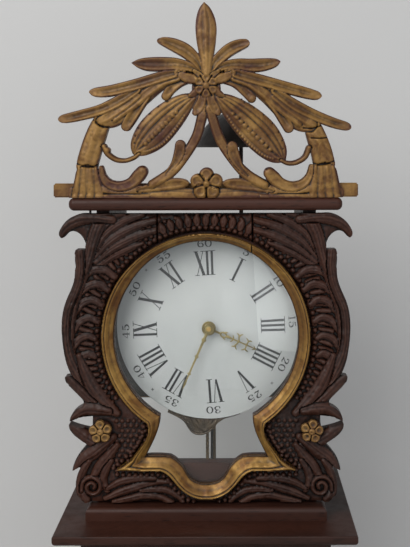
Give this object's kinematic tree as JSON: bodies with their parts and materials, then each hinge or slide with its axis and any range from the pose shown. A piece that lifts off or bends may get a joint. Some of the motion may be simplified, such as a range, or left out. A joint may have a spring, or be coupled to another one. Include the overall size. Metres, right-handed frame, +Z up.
{
  "type": "weight-driven longcase clock",
  "caption": "Free-standing weight-driven striking clock: carved and gilded head with a domed enamel dial, panelled trunk door, plinth, pendulum and full movement.",
  "frame": {"origin": "middle of the floor area under the case, on the floor", "axes": "+X to the clock's right as seen from the front, +Y to the back, +Z up"},
  "size_m": [0.384, 0.29, 2.2455],
  "materials": {
    "dark_wood": "waxed, nearly black with red-brown rubs",
    "back_wood": "plain sawn softwood",
    "mask_paint": "old grey-brown paint",
    "crest_gilding": "worn gilding over red clay",
    "sight_gilding": "burnished gilding with worn edges",
    "pane_glass": "thin old window glass",
    "dial_enamel": "domed white enamel with black figures",
    "apron_brass": "thin embossed sheet, dulled",
    "hand_brass": "dull, aged",
    "wheel_brass": "turned, slightly aged",
    "latch_brass": "handled",
    "bell_metal": "dark cast bell metal",
    "dark_iron": "blackened wrought iron",
    "steel": "filed steel",
    "weight_iron": "rough cast",
    "pulley_wood": "turned hardwood",
    "hemp_rope": "laid hemp cord"
  },
  "bodies": {
    "case": {"case_back_board": "back_wood", "trunk_side_left": "dark_wood", "trunk_side_right": "dark_wood", "trunk_front_frame": "dark_wood", "plinth_box": "dark_wood", "skirting": "dark_wood", "cornice_board": "dark_wood", "cornice_moulding": "dark_wood", "head_base_moulding": "dark_wood", "head_side_left": "dark_wood", "head_side_right": "dark_wood", "head_sill": "dark_wood", "head_top_frame": "dark_wood", "crest_base_strip": "crest_gilding", "crest_carving": "crest_gilding", "dial_mask": "mask_paint", "seat_board": "back_wood", "head_door_pins": "dark_iron", "trunk_hinge_pins": "dark_iron", "movement_bottom_plate": "dark_iron", "movement_top_plate": "dark_iron", "movement_pillars_and_bars": "dark_iron", "bell": "bell_metal", "bell_stand": "dark_iron", "dial_plate": "dial_enamel", "brass_apron": "apron_brass", "going_rope": "hemp_rope", "strike_rope": "hemp_rope"},
    "head_door": {"head_door_frame": "dark_wood", "head_door_sight_moulding": "sight_gilding", "head_door_glass": "pane_glass", "rosette_left": "crest_gilding", "rosette_right": "crest_gilding"},
    "trunk_door": {"trunk_door_frame": "dark_wood", "trunk_door_panel": "dark_wood", "trunk_hinge_sleeves": "dark_iron"},
    "trunk_latch": {"trunk_door_latch": "latch_brass"},
    "minute_group": {"minute_hand": "hand_brass", "cannon_pinion": "wheel_brass"},
    "hour_group": {"hour_hand": "hand_brass", "hour_wheel": "wheel_brass"},
    "minute_wheel": {"minute_wheel": "wheel_brass"},
    "going_great": {"going_great_wheel": "wheel_brass"},
    "centre": {"centre_wheel": "wheel_brass"},
    "third": {"third_wheel": "wheel_brass"},
    "escape": {"escape_wheel": "wheel_brass"},
    "pallets": {"pallet_anchor": "steel"},
    "pendulum": {"pendulum_rod": "steel", "pendulum_bob": "wheel_brass"},
    "going_drive": {"going_pulley": "pulley_wood"},
    "going_load": {"going_weight": "weight_iron"},
    "going_counter": {"going_counterweight": "weight_iron"},
    "strike_great": {"strike_great_wheel": "wheel_brass", "count_wheel": "wheel_brass"},
    "pin": {"pin_wheel": "wheel_brass"},
    "fan": {"fly": "steel"},
    "strike_drive": {"strike_pulley": "pulley_wood"},
    "strike_load": {"strike_weight": "weight_iron"},
    "strike_counter": {"strike_counterweight": "weight_iron"},
    "hammer": {"hammer": "steel"}
  },
  "joints": [
    {"name": "head_door_hinge", "type": "hinge", "parent": "case", "child": "head_door", "pos_m": [-0.147, -0.07, 1.8], "axis": [0, 0, -1], "range_deg": [0, 88]},
    {"name": "trunk_door_hinge", "type": "hinge", "parent": "case", "child": "trunk_door", "pos_m": [-0.09225, -0.1198, 0.95], "axis": [0, 0, -1], "range_deg": [0, 110]},
    {"name": "trunk_latch_turn", "type": "hinge", "parent": "trunk_door", "child": "trunk_latch", "pos_m": [0.064, -0.106, 0.95], "axis": [0, 1, 0], "range_deg": [0, 90]},
    {"name": "minute_hand_turn", "type": "hinge", "parent": "case", "child": "minute_group", "pos_m": [0.0025, -0.0578, 1.831], "axis": [0, 1, 0], "continuous": true},
    {"name": "hour_hand_turn", "type": "hinge", "parent": "case", "child": "hour_group", "pos_m": [0.0025, -0.0526, 1.831], "axis": [0, 1, 0], "continuous": true},
    {"name": "minute_wheel_turn", "type": "hinge", "parent": "case", "child": "minute_wheel", "pos_m": [0.0025, -0.0175, 1.8058], "axis": [0, 1, 0], "continuous": true},
    {"name": "escape_wheel_turn", "type": "hinge", "parent": "case", "child": "escape", "pos_m": [0.0025, 0.023, 1.87833], "axis": [0, 1, 0], "continuous": true},
    {"name": "third_wheel_turn", "type": "hinge", "parent": "case", "child": "third", "pos_m": [-0.0155, 0.038, 1.85794], "axis": [0, 1, 0], "continuous": true},
    {"name": "centre_wheel_turn", "type": "hinge", "parent": "case", "child": "centre", "pos_m": [0.0025, 0.032, 1.831], "axis": [0, 1, 0], "continuous": true},
    {"name": "going_great_turn", "type": "hinge", "parent": "case", "child": "going_great", "pos_m": [-0.04989, 0.0075, 1.803], "axis": [0, 1, 0], "continuous": true},
    {"name": "fly_turn", "type": "hinge", "parent": "case", "child": "fan", "pos_m": [0.0645, 0.038, 1.88236], "axis": [0, 1, 0], "continuous": true},
    {"name": "pin_wheel_turn", "type": "hinge", "parent": "case", "child": "pin", "pos_m": [0.0425, 0.075, 1.86109], "axis": [0, 1, 0], "continuous": true},
    {"name": "strike_great_turn", "type": "hinge", "parent": "case", "child": "strike_great", "pos_m": [0.05489, 0.0655, 1.803], "axis": [0, 1, 0], "continuous": true},
    {"name": "going_weight_slide", "type": "slide", "parent": "case", "child": "going_load", "axis": [0, 0, -1], "range_m": [0, 1.06], "deforming": ["going_rope"]},
    {"name": "going_counterweight_slide", "type": "slide", "parent": "case", "child": "going_counter", "axis": [0, 0, 1], "range_m": [0, 1.06]},
    {"name": "going_pulley_turn", "type": "hinge", "parent": "case", "child": "going_drive", "pos_m": [-0.04989, 0.02, 1.803], "axis": [0, -1, 0], "range_deg": [0, 1265.8]},
    {"name": "strike_weight_slide", "type": "slide", "parent": "case", "child": "strike_load", "axis": [0, 0, -1], "range_m": [0, 1.06], "deforming": ["strike_rope"]},
    {"name": "strike_counterweight_slide", "type": "slide", "parent": "case", "child": "strike_counter", "axis": [0, 0, 1], "range_m": [0, 1.06]},
    {"name": "strike_pulley_turn", "type": "hinge", "parent": "case", "child": "strike_drive", "pos_m": [0.05489, 0.05, 1.803], "axis": [0, 1, 0], "range_deg": [0, 1265.8]},
    {"name": "pendulum_swing", "type": "hinge", "parent": "case", "child": "pendulum", "pos_m": [0.0025, 0.105, 1.9065], "axis": [0, 1, 0], "range_deg": [-3, 3]},
    {"name": "pallets_rock", "type": "hinge", "parent": "case", "child": "pallets", "pos_m": [0.0025, 0.095, 1.9065], "axis": [0, 1, 0], "range_deg": [-3, 3]},
    {"name": "hammer_lift", "type": "hinge", "parent": "case", "child": "hammer", "pos_m": [0.0453, 0.06, 1.91], "axis": [0, 1, 0], "range_deg": [0, 5]}
  ],
  "couplings": [
    {"joint": "hour_hand_turn", "follows": "minute_hand_turn", "ratio": 0.083333},
    {"joint": "minute_wheel_turn", "follows": "minute_hand_turn", "ratio": -0.5},
    {"joint": "third_wheel_turn", "follows": "escape_wheel_turn", "ratio": -0.13333},
    {"joint": "centre_wheel_turn", "follows": "escape_wheel_turn", "ratio": 0.016667},
    {"joint": "going_great_turn", "follows": "escape_wheel_turn", "ratio": -0.0020833},
    {"joint": "pin_wheel_turn", "follows": "fly_turn", "ratio": -0.13333},
    {"joint": "strike_great_turn", "follows": "fly_turn", "ratio": 0.022222},
    {"joint": "going_counterweight_slide", "follows": "going_weight_slide", "ratio": 1},
    {"joint": "going_pulley_turn", "follows": "going_weight_slide", "rad_per_m": 20.833},
    {"joint": "strike_counterweight_slide", "follows": "strike_weight_slide", "ratio": 1},
    {"joint": "strike_pulley_turn", "follows": "strike_weight_slide", "rad_per_m": 20.833},
    {"joint": "pallets_rock", "follows": "pendulum_swing", "ratio": 1}
  ]
}
